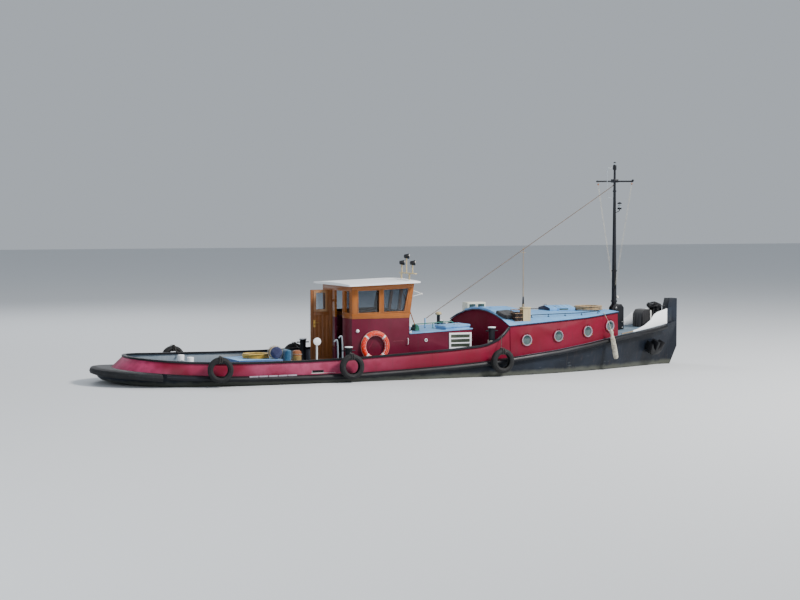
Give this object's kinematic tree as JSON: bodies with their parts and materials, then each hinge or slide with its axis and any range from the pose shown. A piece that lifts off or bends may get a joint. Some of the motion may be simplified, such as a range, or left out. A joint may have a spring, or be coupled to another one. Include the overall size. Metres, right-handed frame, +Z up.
{
  "type": "harbour tugboat",
  "caption": "Small steel harbour tug with round stern, low bulwark, wheelhouse, raised fore cabin, folding mast, hinged door and hatch, turning rudder, helm and propeller.",
  "frame": {"origin": "on the centreline amidships, at the waterline the boat floats at", "axes": "+X to the bow, +Y to port, +Z up"},
  "size_m": [15.8838, 4.234, 6.66],
  "materials": {
    "hull_paint": "satin, weathered",
    "crimson_paint": "gloss",
    "maroon_paint": "gloss",
    "black_paint": "satin",
    "deck_blue_paint": "matt, non-slip",
    "white_paint": "gloss",
    "grey_paint": "satin, worn",
    "varnished_wood": "varnished",
    "window_glass": "clear",
    "fender_rubber": "matt",
    "tyre_rubber": "worn tread",
    "buoy_orange": "satin",
    "propeller_bronze": "cast",
    "cast_grey": "rough",
    "canvas_black": "woven",
    "rope_yellow": "laid rope",
    "rope_brown": "laid rope",
    "rope_tan": "laid rope"
  },
  "bodies": {
    "root": {"hull": "hull_paint", "rubbing_strake_starboard": "black_paint", "rubbing_strake_port": "black_paint", "stern_fender": "fender_rubber", "bulwark": "crimson_paint", "rail_cap": "black_paint", "bow_bulwark_starboard": "white_paint", "bow_bulwark_port": "white_paint", "fore_cabin": "crimson_paint", "fore_cabin_roof": "deck_blue_paint", "engine_casing": "maroon_paint", "louvre_starboard": "white_paint", "louvre_port": "white_paint", "engine_block": "cast_grey", "casing_roof": "deck_blue_paint", "vent_mushroom": "black_paint", "wheelhouse_lower": "maroon_paint", "wheelhouse_upper": "varnished_wood", "glass_starboard": "window_glass", "glass_port": "window_glass", "glass_front": "window_glass", "glass_aft": "window_glass", "wheelhouse_roof": "white_paint", "helm_console": "varnished_wood", "lamp_rack": "white_paint", "lifebuoy": "buoy_orange", "bollard_mid_starboard": "grey_paint", "bollard_mid_port": "grey_paint", "bollard_fore_starboard": "grey_paint", "bollard_fore_port": "grey_paint", "towing_bitt": "grey_paint", "aft_hatch": "deck_blue_paint", "work_lamp": "white_paint", "tyre_aft_starboard": "tyre_rubber", "tyre_aft_port": "tyre_rubber", "tyre_mid_starboard": "tyre_rubber", "tyre_mid_port": "tyre_rubber", "tyre_fore_starboard": "tyre_rubber", "tyre_fore_port": "tyre_rubber", "rope_fender": "canvas_black", "anchor": "cast_grey", "windlass_frame": "black_paint", "windlass_cover": "canvas_black", "tabernacle": "black_paint", "backstay": "cast_grey", "roof_locker": "deck_blue_paint", "roof_hatch": "deck_blue_paint", "skylight": "black_paint", "aerial_pole": "white_paint", "rope_coil_yellow": "rope_yellow", "rope_coil_brown": "rope_brown", "rope_coil_roof": "rope_tan"},
    "door": {"wheelhouse_door": "varnished_wood", "door_glass": "window_glass"},
    "hatch_lid": {"casing_hatch_lid": "deck_blue_paint"},
    "helm_wheel": {"steering_wheel": "varnished_wood"},
    "rudder": {"rudder": "hull_paint"},
    "propeller": {"propeller": "propeller_bronze"},
    "mast": {"mast": "black_paint"},
    "windlass": {"windlass_drum": "cast_grey"}
  },
  "joints": [
    {"name": "door_swing", "type": "hinge", "parent": "root", "child": "door", "pos_m": [-1.832, 0.2, 1.2], "axis": [0, 0, 1], "range_deg": [-75, 90]},
    {"name": "hatch_lid_lift", "type": "hinge", "parent": "root", "child": "hatch_lid", "pos_m": [1.06, -0.29, 1.1837], "axis": [-0.9989, 0, -0.047], "range_deg": [0, 95]},
    {"name": "rudder_turn", "type": "hinge", "parent": "root", "child": "rudder", "pos_m": [-6.85, 0, -0.7], "axis": [0, 0, 1], "range_deg": [-35, 35]},
    {"name": "helm_turn", "type": "hinge", "parent": "root", "child": "helm_wheel", "pos_m": [-0.8, 0, 1.18], "axis": [1, 0, 0], "range_deg": [-705, 705]},
    {"name": "propeller_spin", "type": "hinge", "parent": "root", "child": "propeller", "pos_m": [-5.95, 0, -0.76], "axis": [1, 0, 0], "continuous": true},
    {"name": "mast_fold", "type": "hinge", "parent": "root", "child": "mast", "pos_m": [6.04, 0, 1.52], "axis": [0, -1, 0], "range_deg": [0, 60], "deforming": ["backstay"]},
    {"name": "windlass_turn", "type": "hinge", "parent": "root", "child": "windlass", "pos_m": [7.26, 0, 1.56], "axis": [0, 1, 0], "continuous": true}
  ],
  "couplings": [
    {"joint": "helm_turn", "follows": "rudder_turn", "ratio": 20}
  ]
}
